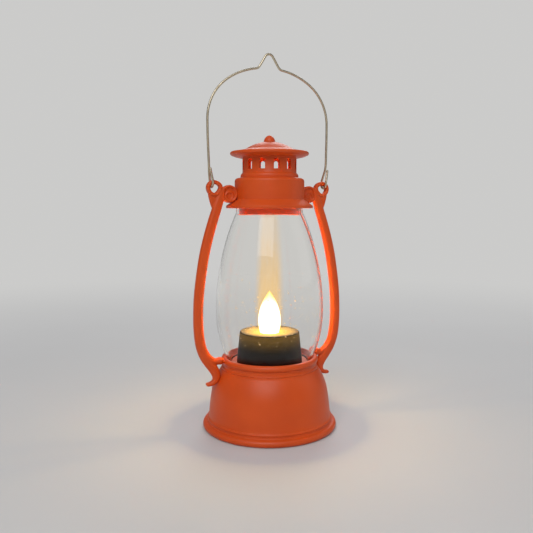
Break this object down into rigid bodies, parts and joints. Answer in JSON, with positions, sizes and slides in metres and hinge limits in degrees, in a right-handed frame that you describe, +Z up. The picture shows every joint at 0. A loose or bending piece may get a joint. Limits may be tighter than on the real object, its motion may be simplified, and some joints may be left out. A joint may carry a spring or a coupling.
{
  "type": "battery lantern ornament",
  "caption": "Small moulded hurricane-style lantern with a clear globe, lit candle, scroll side arms and a swinging wire bail.",
  "frame": {"origin": "centre of the foot ring at table level", "axes": "+Z up along the lantern's axis; the two side arms and the bail lie along X; -Y is the front, the side the switch is on"},
  "size_m": [0.067, 0.0574, 0.1569],
  "materials": {
    "orange_base": "satin",
    "orange_crown": "satin",
    "orange_arm": "satin",
    "screw_steel": "zinc plated",
    "nickel_sheet": "nickel plated",
    "slider_black": "matte",
    "cell_steel": "bright nickel",
    "cup_black": "matte",
    "board_green": "solder mask",
    "resistor_body": "lacquered",
    "led_resin": "lit",
    "flame_white": "lit, translucent",
    "wire_red": "matte",
    "wire_black": "matte",
    "globe_clear": "clear polystyrene",
    "bail_steel": "brass-tinted nickel plate"
  },
  "bodies": {
    "body": {"base_shell": "orange_base", "bottom_plate": "orange_base", "base_screws": "screw_steel", "switch_housing": "nickel_sheet", "switch_terminals": "nickel_sheet", "button_cell_1": "cell_steel", "button_cell_2": "cell_steel", "button_cell_3": "cell_steel", "battery_spring": "nickel_sheet", "negative_contact": "nickel_sheet", "positive_contact": "nickel_sheet", "candle_cup": "cup_black", "led_board": "board_green", "resistor": "resistor_body", "led_bulb": "led_resin", "led_leads": "nickel_sheet", "flame_tip": "flame_white", "wire_red": "wire_red", "wire_black": "wire_black", "wire_link": "wire_black", "globe": "globe_clear", "collar": "orange_crown", "vent_chimney": "orange_crown", "roof_cap": "orange_crown", "left_arm": "orange_arm", "right_arm": "orange_arm"},
    "bail": {"bail_wire": "bail_steel"},
    "door": {"battery_door": "orange_base"},
    "door_fastener": {"door_screw": "screw_steel"},
    "switch_knob": {"switch_slider": "slider_black"}
  },
  "joints": [
    {"name": "bail_swing", "type": "hinge", "parent": "body", "child": "bail", "pos_m": [0, 0, 0.1042], "axis": [1, 0, 0], "range_deg": [-118, 118]},
    {"name": "switch_slide", "type": "slide", "parent": "body", "child": "switch_knob", "axis": [1, 0, 0], "range_m": [0, 0.002]},
    {"name": "door_lift_off", "type": "slide", "parent": "body", "child": "door", "axis": [0, 0, -1], "range_m": [0, 0.012], "stiffness_N_per_m": 30},
    {"name": "door_screw_turn", "type": "hinge", "parent": "door", "child": "door_fastener", "pos_m": [0.0147, 0, 0.0013], "axis": [0, 0, 1], "continuous": true}
  ]
}
